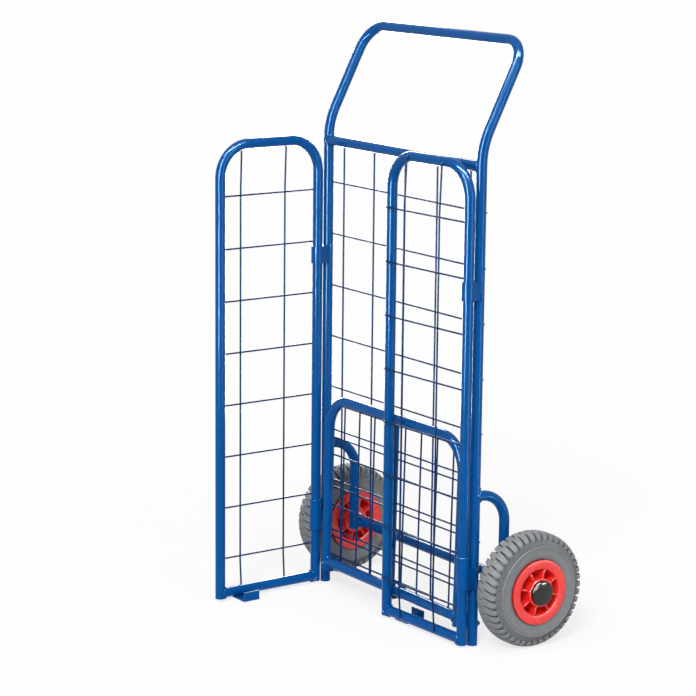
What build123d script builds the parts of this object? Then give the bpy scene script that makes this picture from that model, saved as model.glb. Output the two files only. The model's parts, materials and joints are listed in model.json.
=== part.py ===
from build123d import *
from math import asin, cos, degrees, radians, sin, sqrt
import os

os.makedirs("parts", exist_ok=True)

# Folding hand cart. X is across the cart, the load side faces -Y, and Z is up from the floor.
# While the pieces are drawn, Y is zero in the plane of the two uprights.
# At the end everything is moved so that Y is zero in the middle of the whole cart's depth.

# Driving sizes of the cart, in millimetres
track = 575.0                     # distance between the axes of the two uprights
overall_height = 1317.5           # floor to the top of the handle
crossbar_drop = 269.5             # from the top of the handle to the upper crossbar's axis
handle_bend_drop = 227.5          # from the top of the handle to where the uprights lean back
handle_reach = 110.6              # how far the handle bar stands behind the uprights
gate_width = 265.0                # between the axes of a gate's two side tubes
toe_side_inset = 30.5             # from the axis of an upright in to the toe plate's side tube
toe_length = 394.0                # from the toe plate's lower bar to its far bar
wheel_diameter = 255.0
wheel_spacing = 700.8             # between the middle planes of the two tyres

# Tube and wire stock
tube_diameter = 23.0
tube_wall = 1.5
wire_diameter = 4.0
sheet_thickness = 3.0

# Bend radii, on the tube's axis
handle_bend_radius = 160.0
handle_corner_radius = 60.0
gate_corner_radius = 74.0
toe_corner_radius = 74.0
carrier_bend_radius = 65.0

# Clearances
hinge_clearance = 0.08            # round each hinged tube, on the radius
rest_gap = 0.4                    # between two tubes that lean together when folded
axle_fit = 0.05                   # round the axle rod, on the radius
side_gap = 0.3                    # between faces that turn past each other
overrun = 5.0                     # how far a cutting tool passes the face that it cuts

# Back grid
grid_pitch = 120.0                # between two level wires, on the frame and on the gates
grid_first_drop = 98.0            # from the upper crossbar to the highest level wire
grid_columns = 5
grid_column_pitch = 119.0
wire_lap = 2.0                    # how far a wire passes the axis of the tube it is welded to

# Lower crossbar, which is also the toe plate's pivot
pivot_height = 46.0
pivot_setback = 6.0               # behind the plane of the uprights
toe_offset = 24.0                 # from the pivot to the plane of the toe plate's tubes
toe_bar_height = 11.0             # lower bar above the pivot, with the toe plate folded up
toe_stub_length = 20.0            # side tubes and strut below the lower bar
toe_lean = 1.2                    # degrees that the folded toe plate leans back
toe_column_pitch = 60.0
toe_columns = 8
toe_row_pitch = 60.0
toe_rows = 7
toe_first_row = 16.0              # lowest level wire above the lower bar
toe_strap_width = 30.0

# Gates
gate_hinge_setout = 29.0          # gate hinge axis in front of the upright's axis
gate_top_rise = 4.0               # axis of a gate's top bar above the upper crossbar's
gate_floor_gap = 5.5              # under the gate's tubes
gate_first_drop = 118.0           # from a gate's top bar to its highest level wire
gate_near_column = 79.5           # upright wires, from the hinge axis
gate_far_inset = 65.5             # from the free side tube
left_gate_opening = 89.0          # degrees that the left gate stands open
hook_inset = 34.5                 # from the free side tube's axis to the hook
hook_width = 42.0
hook_reach = 46.0                 # from the lower bar's axis to the middle of the hook's lip
hook_lip_top = 24.0               # above the floor

# Gate hinge straps
upper_strap_drop = 287.0          # from the gate's top bar to the upper strap's lower edge
upper_strap_height = 40.0
lower_strap_bottom = 130.0        # above the floor
lower_strap_height = 46.0
collar_height = 25.0
collar_wall = 2.6

# Wheel carriers and axle
carrier_height = 333.0            # axis of the carrier's level run
axle_height = 127.5
axle_setback = 104.6              # behind the plane of the uprights
washer_thickness = 2.8
washer_radius = 18.5
retainer_thickness = 3.5
retainer_radius = 16.5
axle_end_length = 1.7             # axle rod beyond its retainers

# Wheels, seen from the tyre's middle plane
tyre_width = 73.0
tyre_bead_radius = 70.0
tyre_shoulder_radius = 24.0
tyre_bead_corner_radius = 8.0
tyre_wall = 8.0
tube_gap = 0.3                    # inner tube to tyre
inner_tube_wall = 2.5
rim_barrel_radius = 62.0
rim_flange_radius = 72.0
rim_lip_radius = 51.0
rim_flange_thickness = 2.2
rim_face_depth = 14.0
hub_radius = 31.0
hub_inner_half_width = 37.0
hub_overhang = 5.0                # hub beyond the rim's outer face
cap_radius = 27.7
cap_recess = 20.0
cap_skirt = 5.5
cap_dome = 3.0
rim_web_thickness = 4.0
spoke_count = 8
spoke_thickness = 5.0
spoke_inset = 3.0                 # from the rim's faces to the spokes' edges
bearing_wall = 4.0
bearing_length = 18.0
valve_radius = 4.0
valve_length = 26.0
valve_offset = 15.0               # from the tyre's middle plane to the valve
wheel_turn = 97.7                 # degrees that both wheels are turned about the axle

# Worked out from the sizes above
tube_radius = tube_diameter / 2
tube_bore_radius = tube_radius - tube_wall
wire_radius = wire_diameter / 2
wire_seat = tube_radius + wire_radius           # a wire's axis when it lies on a tube
wire_inner_seat = wire_seat - wire_diameter     # the layer of wires between the tubes
wire_outer_seat = wire_seat + wire_diameter     # the layer of wires outside them
half_track = track / 2
toe_width = track - 2 * toe_side_inset
handle_height = overall_height - tube_radius
handle_bend_height = overall_height - handle_bend_drop
crossbar_height = overall_height - crossbar_drop
gate_top_height = crossbar_height + gate_top_rise
grid_top_row = crossbar_height - grid_first_drop
grid_rows = int((grid_top_row - pivot_height - tube_radius) // grid_pitch) + 1
sleeve_bore_radius = tube_radius + hinge_clearance
sleeve_radius = sleeve_bore_radius + sheet_thickness
gate_bar_height = gate_floor_gap + tube_radius
gate_first_row = gate_top_height - gate_first_drop
gate_rows = int((gate_first_row - gate_bar_height - tube_radius) // grid_pitch) + 1
hook_far = gate_width - hook_inset
hook_near = hook_far - hook_width
upper_strap_bottom = gate_top_height - upper_strap_drop
upper_strap_top = upper_strap_bottom + upper_strap_height
lower_strap_top = lower_strap_bottom + lower_strap_height
wheel_radius = wheel_diameter / 2
half_spacing = wheel_spacing / 2
rim_half_width = tyre_width / 2 + rim_flange_thickness
hub_outer_half_width = rim_half_width + hub_overhang
axle_radius = tube_bore_radius - axle_fit
axle_bore_radius = axle_radius + axle_fit
carrier_setback = axle_setback - tube_diameter
hub_inner_face = half_spacing - hub_inner_half_width
axle_tube_half = hub_inner_face - side_gap - washer_thickness

# The folded right gate leans on the toe plate's lower bar, which sets its angle
toe_lean_turn = radians(toe_lean)
toe_bar_y = pivot_setback - toe_offset * cos(toe_lean_turn) + toe_bar_height * sin(toe_lean_turn)
gate_rest_drop = tube_diameter + rest_gap - gate_hinge_setout - toe_bar_y
gate_rest_angle = degrees(asin(gate_rest_drop / gate_width))


def bent_tube(points, radii):
    path = FilletPolyline(*points, radius=radii)
    start = Plane(origin=path @ 0, z_dir=path % 0)
    ring = start * (Circle(tube_radius) - Circle(tube_bore_radius))
    return sweep(ring, path=path)


def bent_rod(points, radii, radius):
    path = FilletPolyline(*points, radius=radii)
    start = Plane(origin=path @ 0, z_dir=path % 0)
    return sweep(start * Circle(radius), path=path)


def rod(start, end, radius, bore=0.0):
    run = Vector(*end) - Vector(*start)
    plane = Plane(origin=start, z_dir=run)
    solid = extrude(plane * Circle(radius), amount=run.length)
    if bore:
        solid -= extrude(plane * Circle(bore), amount=run.length)
    return solid


def block(low, high):
    size = [b - a for a, b in zip(low, high)]
    middle = [(a + b) / 2 for a, b in zip(low, high)]
    return Pos(*middle) * Box(*size)


def group(solids):
    return Compound(children=[s for shape in solids for s in shape.solids()])


def mirrored(shape):
    return mirror(shape, about=Plane.YZ)


# Main frame

def upright_core():
    return rod((half_track, 0, -overrun), (half_track, 0, handle_bend_height), tube_radius)


frame_points = [
    (-half_track, 0, 0),
    (-half_track, 0, handle_bend_height),
    (-half_track, handle_reach, handle_height),
    (half_track, handle_reach, handle_height),
    (half_track, 0, handle_bend_height),
    (half_track, 0, 0),
]
frame_radii = [handle_bend_radius, handle_corner_radius, handle_corner_radius, handle_bend_radius]


def make_main_frame_tube():
    return bent_tube(frame_points, frame_radii)


def make_crossbar(y, z):
    bar = rod((-half_track, y, z), (half_track, y, z), tube_radius, tube_bore_radius)
    return bar - bent_rod(frame_points, frame_radii, tube_radius)


def column_places(count, pitch):
    return [(i - (count - 1) / 2) * pitch for i in range(count)]


def make_back_grid_verticals():
    lower_core = rod(
        (-half_track, pivot_setback, pivot_height), (half_track, pivot_setback, pivot_height), tube_radius
    )
    upper_core = rod((-half_track, 0, crossbar_height), (half_track, 0, crossbar_height), tube_radius)
    wires = []
    for x in column_places(grid_columns, grid_column_pitch):
        beside_strap = abs(x) < toe_strap_width / 2 + wire_diameter
        foot = pivot_height
        if beside_strap:
            foot = pivot_height + sleeve_radius + wire_diameter
        wire = rod((x, wire_inner_seat, foot), (x, wire_inner_seat, crossbar_height), wire_radius)
        wires.append(wire - lower_core - upper_core)
    return group(wires)


def make_back_grid_horizontals():
    end = half_track + wire_lap
    rows = [grid_top_row - i * grid_pitch for i in range(grid_rows)]
    return group([rod((-end, wire_seat, z), (end, wire_seat, z), wire_radius) for z in rows])


def make_wheel_carrier():
    x = half_track
    points = [
        (x, 0, carrier_height),
        (x, carrier_setback, carrier_height),
        (x, carrier_setback, axle_height - tube_radius),
    ]
    return bent_tube(points, carrier_bend_radius) - upright_core()


def make_axle_tube():
    return rod(
        (-axle_tube_half, axle_setback, axle_height),
        (axle_tube_half, axle_setback, axle_height),
        tube_radius,
        tube_bore_radius,
    )


def make_axle_rod():
    end = outer_washer_x() + washer_thickness + retainer_thickness + axle_end_length
    return rod((-end, axle_setback, axle_height), (end, axle_setback, axle_height), axle_radius)


def axle_ring(inner_x, thickness, radius):
    return rod(
        (inner_x, axle_setback, axle_height),
        (inner_x + thickness, axle_setback, axle_height),
        radius,
        axle_radius,
    )


def outer_washer_x():
    return half_spacing + hub_outer_half_width - cap_recess + side_gap


def make_axle_washers():
    inner = axle_ring(axle_tube_half, washer_thickness, washer_radius)
    outer = axle_ring(outer_washer_x(), washer_thickness, washer_radius)
    return group([inner, outer, mirrored(inner), mirrored(outer)])


def make_axle_retainers():
    ring = axle_ring(outer_washer_x() + washer_thickness, retainer_thickness, retainer_radius)
    return group([ring, mirrored(ring)])


def make_gate_strap(bottom, top):
    x, y = half_track, -gate_hinge_setout
    sleeve = rod((x, y, bottom), (x, y, top), sleeve_radius)
    web = block((x - tube_radius, y, bottom), (x + tube_radius, 0, top))
    bore = rod((x, y, bottom - overrun), (x, y, top + overrun), sleeve_bore_radius)
    return sleeve + web - bore - upright_core()


# Gates, drawn for the left side: hinge axis at X and Y zero, closed along +X, outer face to -Y

def gate_core(x):
    return rod((x, 0, 0), (x, 0, gate_top_height), tube_radius)


def make_gate_tube():
    points = [
        (0, 0, gate_floor_gap),
        (0, 0, gate_top_height),
        (gate_width, 0, gate_top_height),
        (gate_width, 0, gate_floor_gap),
    ]
    return bent_tube(points, gate_corner_radius)


def make_gate_bar():
    bar = rod((0, 0, gate_bar_height), (gate_width, 0, gate_bar_height), tube_radius, tube_bore_radius)
    return bar - gate_core(0) - gate_core(gate_width)


def make_gate_horizontals():
    rows = [gate_first_row - i * grid_pitch for i in range(gate_rows)]
    end = gate_width + wire_lap
    return group([rod((0, -wire_seat, z), (end, -wire_seat, z), wire_radius) for z in rows])


def make_gate_verticals():
    low_row = gate_first_row - (gate_rows - 1) * grid_pitch
    wires = []
    for x in (gate_near_column, gate_width - gate_far_inset):
        points = [
            (x, -wire_seat, gate_bar_height - wire_lap),
            (x, -wire_seat, gate_bar_height + tube_radius),
            (x, -wire_outer_seat, low_row - tube_radius),
            (x, -wire_outer_seat, gate_first_row + tube_radius),
            (x, -wire_seat, gate_top_height - tube_radius),
            (x, -wire_seat, gate_top_height + wire_lap),
        ]
        wires.append(bent_rod(points, tube_diameter, wire_radius))
    return group(wires)


def make_gate_hook():
    plate_bottom = gate_floor_gap - sheet_thickness
    lip_near = hook_reach - sheet_thickness / 2
    lip_far = hook_reach + sheet_thickness / 2
    plate = block((hook_near, -wire_radius, plate_bottom), (hook_far, lip_far, gate_floor_gap))
    lip = block((hook_near, lip_near, plate_bottom), (hook_far, lip_far, hook_lip_top))
    return plate + lip


def make_gate_collar():
    bottom = lower_strap_top
    return rod((0, 0, bottom), (0, 0, bottom + collar_height), tube_radius + collar_wall, tube_radius)


def place_left_gate(shape):
    turned = Rot(0, 0, -left_gate_opening) * shape
    return Pos(-half_track, -gate_hinge_setout, 0) * turned


def place_right_gate(shape):
    turned = Rot(0, 0, gate_rest_angle) * mirrored(shape)
    return Pos(half_track, -gate_hinge_setout, 0) * turned


# Toe plate, drawn with its pivot at the origin, folded up along +Z, its load face to -Y

toe_points = [
    (-toe_width / 2, -toe_offset, toe_bar_height - toe_stub_length),
    (-toe_width / 2, -toe_offset, toe_bar_height + toe_length),
    (toe_width / 2, -toe_offset, toe_bar_height + toe_length),
    (toe_width / 2, -toe_offset, toe_bar_height - toe_stub_length),
]


def make_toe_tube():
    return bent_tube(toe_points, toe_corner_radius)


def toe_core(x):
    top = toe_bar_height + toe_length
    return rod((x, -toe_offset, -toe_stub_length), (x, -toe_offset, top), tube_radius)


def make_toe_strut():
    low = toe_bar_height - toe_stub_length
    top = toe_bar_height + toe_length
    strut = rod((0, -toe_offset, low), (0, -toe_offset, top), tube_radius, tube_bore_radius)
    far_bar = rod((-toe_width / 2, -toe_offset, top), (toe_width / 2, -toe_offset, top), tube_radius)
    return strut - far_bar


def make_toe_bars():
    x = toe_width / 2
    z = toe_bar_height
    bar = rod((-x, -toe_offset, z), (x, -toe_offset, z), tube_radius, tube_bore_radius)
    return bar - toe_core(-x) - toe_core(0) - toe_core(x)


def make_toe_horizontals():
    end = toe_width / 2 + wire_lap
    y = wire_seat - toe_offset
    first = toe_bar_height + toe_first_row
    rows = [first + i * toe_row_pitch for i in range(toe_rows)]
    return group([rod((-end, y, z), (end, y, z), wire_radius) for z in rows])


def make_toe_verticals():
    top = toe_bar_height + toe_length
    y = wire_inner_seat - toe_offset
    half = toe_width / 2
    near_core = rod((-half, -toe_offset, toe_bar_height), (half, -toe_offset, toe_bar_height), tube_radius)
    frame_core = bent_rod(toe_points, toe_corner_radius, tube_radius)
    corner_start = half - toe_corner_radius
    wires = []
    for x in column_places(toe_columns, toe_column_pitch):
        into_corner = max(abs(x) - corner_start, 0)
        drop = toe_corner_radius - sqrt(toe_corner_radius**2 - into_corner**2)
        wire = rod((x, y, toe_bar_height), (x, y, top - drop), wire_radius)
        wires.append(wire - near_core - frame_core)
    return group(wires)


def make_toe_strap(x):
    half = toe_strap_width / 2
    sleeve = rod((x - half, 0, 0), (x + half, 0, 0), sleeve_radius)
    web = block((x - half, -toe_offset, -sleeve_radius + wire_radius), (x + half, 0, sleeve_radius - wire_radius))
    web &= block((x - tube_radius, -toe_offset, -sleeve_radius), (x + tube_radius, 0, toe_bar_height))
    bore = rod((x - half - overrun, 0, 0), (x + half + overrun, 0, 0), sleeve_bore_radius)
    bar = rod(
        (x - toe_width, -toe_offset, toe_bar_height), (x + toe_width, -toe_offset, toe_bar_height), tube_radius
    )
    strap = sleeve + web - bore - bar
    return strap - rod((x, -toe_offset, -toe_width), (x, -toe_offset, toe_width), tube_radius)


def place_toe(shape):
    return Pos(0, pivot_setback, pivot_height) * (Rot(-toe_lean, 0, 0) * shape)


# Wheels, drawn for the right side about the X axis, with X zero in the tyre's middle plane

def turned_section(section):
    return revolve(Plane.XY * section, axis=Axis.X)


def ring_section(x_low, x_high, r_low, r_high):
    return Pos((x_low + x_high) / 2, (r_low + r_high) / 2) * Rectangle(x_high - x_low, r_high - r_low)


def rounded_section(half_width, r_low, r_high, outer_corner, inner_corner):
    section = ring_section(-half_width, half_width, r_low, r_high)
    outer = section.vertices().filter_by(lambda v: v.Y > (r_low + r_high) / 2)
    section = fillet(outer, radius=outer_corner)
    inner = section.vertices().filter_by(lambda v: v.Y < r_low + tube_gap)
    return fillet(inner, radius=inner_corner)


def make_tyre():
    half = tyre_width / 2
    outside = rounded_section(
        half, tyre_bead_radius, wheel_radius, tyre_shoulder_radius, tyre_bead_corner_radius
    )
    inside = rounded_section(
        half - tyre_wall,
        tyre_bead_radius - tyre_wall,
        wheel_radius - tyre_wall,
        tyre_shoulder_radius - tyre_wall,
        tyre_wall / 2,
    )
    return turned_section(outside - inside)


def make_inner_tube():
    half = tyre_width / 2 - tyre_wall - tube_gap
    low = tyre_bead_radius + tube_gap
    high = wheel_radius - tyre_wall - tube_gap
    corner = tyre_shoulder_radius - tyre_wall
    outside = rounded_section(half, low, high, corner, corner)
    wall = inner_tube_wall
    inside = rounded_section(half - wall, low + wall, high - wall, corner - wall, corner - wall)
    return turned_section(outside - inside)


def make_rim():
    half = rim_half_width
    face = half - rim_flange_thickness
    section = ring_section(-half, half, rim_barrel_radius, tyre_bead_radius)
    section += ring_section(face, half, rim_lip_radius, rim_flange_radius)
    section += ring_section(-half, -face, rim_lip_radius, rim_flange_radius)
    section += ring_section(half - rim_face_depth, half, rim_lip_radius, rim_barrel_radius)
    bearing_radius = axle_bore_radius + bearing_wall
    section += ring_section(-hub_inner_half_width, hub_outer_half_width, bearing_radius, hub_radius)
    web = rim_web_thickness / 2
    section += ring_section(-web, web, bearing_radius, rim_barrel_radius)
    rim = turned_section(section)
    spoke_end = half - spoke_inset
    spoke = block(
        (-spoke_end, -spoke_thickness / 2, (hub_radius + cap_radius) / 2),
        (spoke_end, spoke_thickness / 2, (rim_barrel_radius + tyre_bead_radius) / 2),
    )
    for i in range(spoke_count):
        rim += Rot((i + 1 / 2) * 360 / spoke_count, 0, 0) * spoke
    recess_floor = hub_outer_half_width - cap_recess
    recess = rod((recess_floor, 0, 0), (hub_outer_half_width + overrun, 0, 0), cap_radius)
    x = valve_offset
    valve_hole = rod((x, 0, hub_radius + overrun), (x, 0, tyre_bead_radius + overrun), valve_radius)
    return rim - recess - valve_hole


def make_valve():
    top = tyre_bead_radius
    x = valve_offset
    return rod((x, 0, top - valve_length), (x, 0, top), valve_radius - tube_gap)


def make_bearings():
    radius = axle_bore_radius + bearing_wall
    seat = hub_outer_half_width - cap_recess
    outer = rod((seat - bearing_length, 0, 0), (seat, 0, 0), radius, axle_bore_radius)
    inner_end = -hub_inner_half_width
    inner = rod((inner_end, 0, 0), (inner_end + bearing_length, 0, 0), radius, axle_bore_radius)
    return group([outer, inner])


def make_cap():
    face = hub_outer_half_width
    edge = face + cap_skirt
    plug = rod((face - rim_web_thickness, 0, 0), (edge + cap_dome, 0, 0), cap_radius)
    ball_radius = (cap_radius**2 + cap_dome**2) / (2 * cap_dome)
    return plug & Pos(edge + cap_dome - ball_radius, 0, 0) * Sphere(ball_radius)


def place_right_wheel(shape):
    return Pos(half_spacing, axle_setback, axle_height) * (Rot(wheel_turn, 0, 0) * shape)


def place_left_wheel(shape):
    return mirrored(place_right_wheel(shape))


# Assembly

def frame_nodes():
    carrier = make_wheel_carrier()
    upper = make_gate_strap(upper_strap_bottom, upper_strap_top)
    lower = make_gate_strap(lower_strap_bottom, lower_strap_top)
    return {
        "main_frame_tube": make_main_frame_tube(),
        "upper_crossbar": make_crossbar(0, crossbar_height),
        "lower_crossbar": make_crossbar(pivot_setback, pivot_height),
        "back_grid_verticals": make_back_grid_verticals(),
        "back_grid_horizontals": make_back_grid_horizontals(),
        "left_wheel_carrier": mirrored(carrier),
        "right_wheel_carrier": carrier,
        "axle_tube": make_axle_tube(),
        "axle_rod": make_axle_rod(),
        "axle_washers": make_axle_washers(),
        "axle_retainers": make_axle_retainers(),
        "left_upper_hinge_strap": mirrored(upper),
        "right_upper_hinge_strap": upper,
        "left_lower_hinge_strap": mirrored(lower),
        "right_lower_hinge_strap": lower,
    }


def gate_nodes():
    pieces = {
        "tube": make_gate_tube(),
        "lower_bar": make_gate_bar(),
        "horizontals": make_gate_horizontals(),
        "verticals": make_gate_verticals(),
        "hook": make_gate_hook(),
        "collar": make_gate_collar(),
    }
    nodes = {}
    for name, piece in pieces.items():
        nodes["left_gate_" + name] = place_left_gate(piece)
        nodes["right_gate_" + name] = place_right_gate(piece)
    return nodes


def toe_nodes():
    x = toe_width / 2
    pieces = {
        "tube": make_toe_tube(),
        "centre_strut": make_toe_strut(),
        "lower_bars": make_toe_bars(),
        "horizontals": make_toe_horizontals(),
        "verticals": make_toe_verticals(),
        "left_hinge_strap": make_toe_strap(-x),
        "centre_hinge_strap": make_toe_strap(0),
        "right_hinge_strap": make_toe_strap(x),
    }
    return {"toe_" + name: place_toe(piece) for name, piece in pieces.items()}


def wheel_nodes():
    pieces = {
        "tyre": make_tyre(),
        "inner_tube": make_inner_tube(),
        "rim": make_rim(),
        "valve": make_valve(),
        "bearings": make_bearings(),
        "hub_cap": make_cap(),
    }
    nodes = {}
    for name, piece in pieces.items():
        nodes["left_" + name] = place_left_wheel(piece)
        nodes["right_" + name] = place_right_wheel(piece)
    return nodes


def depth_middle(nodes):
    lows = [shape.bounding_box().min.Y for shape in nodes.values()]
    highs = [shape.bounding_box().max.Y for shape in nodes.values()]
    return (min(lows) + max(highs)) / 2


def main():
    nodes = {**frame_nodes(), **gate_nodes(), **toe_nodes(), **wheel_nodes()}
    middle = depth_middle(nodes)
    for name, shape in nodes.items():
        export_step(Pos(0, -middle, 0) * shape, f"parts/{name}.step")
    print("depth middle", round(middle, 4), "gate rest angle", round(gate_rest_angle, 4))


main()
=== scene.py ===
import json
from math import atan2, cos, pi, radians, sin, sqrt

import bmesh
import bpy
from bpy.props import FloatProperty, FloatVectorProperty, IntProperty, PointerProperty
from mathutils import Matrix, Vector


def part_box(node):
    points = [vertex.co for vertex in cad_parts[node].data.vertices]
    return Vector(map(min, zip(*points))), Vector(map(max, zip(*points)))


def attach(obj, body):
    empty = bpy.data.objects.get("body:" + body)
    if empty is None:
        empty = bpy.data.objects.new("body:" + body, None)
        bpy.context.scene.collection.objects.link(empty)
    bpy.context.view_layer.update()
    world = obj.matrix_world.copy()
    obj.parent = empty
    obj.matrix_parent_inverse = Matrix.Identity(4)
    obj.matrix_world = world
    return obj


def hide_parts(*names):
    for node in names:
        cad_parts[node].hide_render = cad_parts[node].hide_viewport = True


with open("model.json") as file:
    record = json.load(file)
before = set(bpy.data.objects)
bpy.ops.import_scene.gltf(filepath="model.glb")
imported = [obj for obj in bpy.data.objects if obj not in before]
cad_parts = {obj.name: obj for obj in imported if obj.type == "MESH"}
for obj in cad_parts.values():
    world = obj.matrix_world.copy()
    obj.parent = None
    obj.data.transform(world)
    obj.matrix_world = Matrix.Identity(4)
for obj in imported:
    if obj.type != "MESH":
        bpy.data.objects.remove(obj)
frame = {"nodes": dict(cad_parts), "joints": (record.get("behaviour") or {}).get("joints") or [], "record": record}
nodes = frame["nodes"]
joints = {joint["name"]: joint for joint in frame["joints"]}
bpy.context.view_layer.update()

bl_info = {
    "name": "Folding Hand Cart",
    "version": (1, 0, 0),
    "blender": (4, 5, 0),
    "location": "3D View > Sidebar > Hand Cart",
    "description": "Dresses a folding hand cart with coated tubes, welds, treaded tyres and moulded rims",
    "category": "Object",
}

MM = 0.001

# Places taken from the frame, in millimetres
crossbar_low, crossbar_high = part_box("upper_crossbar")
tyre_low, tyre_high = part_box("right_tyre")
UPRIGHT_Y = (crossbar_low.y + crossbar_high.y) / 2 / MM
CROSSBAR_Z = (crossbar_low.z + crossbar_high.z) / 2 / MM
WHEEL_X = (tyre_low.x + tyre_high.x) / 2 / MM
AXLE_Y = (tyre_low.y + tyre_high.y) / 2 / MM
AXLE_Z = (tyre_low.z + tyre_high.z) / 2 / MM
GATE_Y = joints["left_gate_swing"]["pos_m"][1] / MM
PIVOT = Vector(joints["toe_plate_fold"]["pos_m"]) / MM

# The cart's own layout, in millimetres and degrees
HALF_TRACK = 287.5                                      # an upright's axis from the cart's middle
TUBE = 11.5                                             # outer radius of every tube
WIRE = 2.0                                              # radius of every wire
WIRE_SEAT = 13.5                                        # from a tube's axis to that of a wire laid on it
WIRE_INNER = 9.5                                        # the same for the wires that cross under those
GATE_WIDTH = 265.0
GATE_BAR_Z = 17.0
GATE_TOP_Z = 1052.0
GATE_ROWS = [934.0 - 120 * i for i in range(8)]
GATE_COLUMNS = (79.5, 199.5)
GATE_TURN = {"left": -89.0, "right": 2.631}
BACK_ROWS = [950.0 - 120 * i for i in range(8)]
BACK_COLUMNS = [119.0 * i for i in range(-2, 3)]
LOW_BAR_Z = 46.0                                        # the lower crossbar, round which the toe plate folds
LOW_BAR_BACK = 6.0                                      # that bar's axis behind the uprights
TOE_HALF = 257.0
TOE_FRONT = 24.0                                        # the toe plate's tubes in front of their pivot
TOE_BAR = 11.0
TOE_TOP = 405.0
TOE_ROWS = [27.0 + 60 * i for i in range(7)]
TOE_COLUMNS = [60.0 * i - 210 for i in range(8)]
TOE_LEAN = -1.2
COLLAR_TOP = 201.0
UPPER_STRAP = (765.0, 805.0)                            # lowest and highest point of the hinge straps
LOWER_STRAP = (130.0, 176.0)
CARRIER_Z = 333.0                                       # where a wheel's carrier leaves its upright
CARRIER_BACK = 81.6                                     # the carrier's lower leg behind the upright
WHEEL_TURN = 97.7                                       # from the drawn wheel to the one in the photo


def linear(text):
    """Turns an sRGB hex colour into the linear colour that Blender works in."""
    values = [int(text[i:i + 2], 16) / 255 for i in (1, 3, 5)]
    return [v / 12.92 if v <= 0.04045 else ((v + 0.055) / 1.055) ** 2.4 for v in values]


class CartColours(bpy.types.PropertyGroup):
    """The colours of the cart's finishes and of the floor"""

    frame_blue: FloatVectorProperty(
        name="Frame blue", description="Powder coat on the tubes, straps and hooks",
        subtype="COLOR", size=3, min=0, max=1, default=linear("#014D90"),
    )
    # A darker blue than the frame's, on the same coat: painted shade for the shaded sides of the thin wires
    wire_blue_painted_shade: FloatVectorProperty(
        name="Wire blue", description="Powder coat on the thin wires",
        subtype="COLOR", size=3, min=0, max=1, default=linear("#042C5C"),
    )
    tyre_grey: FloatVectorProperty(
        name="Tyre grey", description="Non-marking rubber of the tyres",
        subtype="COLOR", size=3, min=0, max=1, default=linear("#74777A"),
    )
    rim_red: FloatVectorProperty(
        name="Rim red", description="Moulded plastic of the rims",
        subtype="COLOR", size=3, min=0, max=1, default=linear("#E42C26"),
    )
    cap_black: FloatVectorProperty(
        name="Cap black", description="Moulded plastic of the hub caps",
        subtype="COLOR", size=3, min=0, max=1, default=linear("#08090A"),
    )
    floor_white: FloatVectorProperty(
        name="Floor white", description="Paint of the studio floor",
        subtype="COLOR", size=3, min=0, max=1, default=linear("#FFFFFF"),
    )


class CartSizes(bpy.types.PropertyGroup):
    """The sizes of what is modelled here and isn't in the frame"""

    tread_lugs: IntProperty(
        name="Tread lugs", description="Lugs round each half of a tyre's tread", default=44, min=12, max=80,
    )
    lug_height: FloatProperty(
        name="Lug height", description="Height of the lugs from their foot inside the tyre",
        default=10 * MM, min=3 * MM, max=12 * MM, unit="LENGTH",
    )
    lug_end: FloatProperty(
        name="Lug end", description="Share of the tyre's shoulder that the ends of the lugs cover",
        default=0.58, min=0.3, max=0.85, subtype="FACTOR",
    )
    shoulder_ribs: IntProperty(
        name="Shoulder ribs", description="Fine ribs on the shoulder for each lug", default=4, min=0, max=6,
    )
    rim_ribs: IntProperty(
        name="Rim ribs", description="Ribs between the hub and the rim", default=8, min=3, max=16,
    )
    weld_bead: FloatProperty(
        name="Weld bead", description="Radius of the weld beads round the joints",
        default=2.8 * MM, min=0.5 * MM, max=5 * MM, unit="LENGTH",
    )
    weld_roughness: FloatProperty(
        name="Weld roughness", description="How uneven the weld beads are",
        default=0.75 * MM, min=0, max=3 * MM, unit="LENGTH",
    )
    wire_spot: FloatProperty(
        name="Wire weld", description="Radius of the spot welds where a wire lies on a tube",
        default=3.6 * MM, min=1 * MM, max=8 * MM, unit="LENGTH",
    )


# Small tools

def rest():
    """Leaves edit mode and selects nothing, so that the next operator acts on its own piece only."""
    active = bpy.context.view_layer.objects.active
    if active and active.mode != "OBJECT":
        bpy.ops.object.mode_set(mode="OBJECT")
    bpy.ops.object.select_all(action="DESELECT")


def take(*pieces):
    """Selects the given pieces and makes the last one active."""
    rest()
    for piece in pieces:
        piece.select_set(True)
    bpy.context.view_layer.objects.active = pieces[-1]


def edit(piece):
    """Opens a piece in edit mode with all of it selected."""
    take(piece)
    bpy.ops.object.mode_set(mode="EDIT")
    bpy.ops.mesh.select_mode(type="VERT")
    bpy.ops.mesh.select_all(action="SELECT")


def done():
    """Closes edit mode."""
    bpy.ops.object.mode_set(mode="OBJECT")


def select_where(piece, kind, test):
    """In edit mode, selects the points, edges or faces that pass the test, and nothing else."""
    bpy.ops.mesh.select_mode(type=kind)
    bpy.ops.mesh.select_all(action="DESELECT")
    mesh = bmesh.from_edit_mesh(piece.data)
    elements = {"VERT": mesh.verts, "EDGE": mesh.edges, "FACE": mesh.faces}[kind]
    for element in elements:
        if test(element):
            element.select_set(True)
    mesh.select_flush_mode()
    bmesh.update_edit_mesh(piece.data)


def scale(x, y, z):
    """In edit mode, scales what is selected from the origin."""
    bpy.ops.transform.resize(value=(x, y, z), center_override=(0, 0, 0))


def turn(angle, axis):
    """In edit mode, turns what is selected about an axis through the origin."""
    bpy.ops.transform.rotate(value=angle, orient_axis=axis, center_override=(0, 0, 0))


def box(x, y, z):
    """A box of a size in millimetres, left in edit mode."""
    rest()
    bpy.ops.mesh.primitive_cube_add(size=1)
    piece = bpy.context.object
    edit(piece)
    scale(x * MM, y * MM, z * MM)
    return piece


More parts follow.
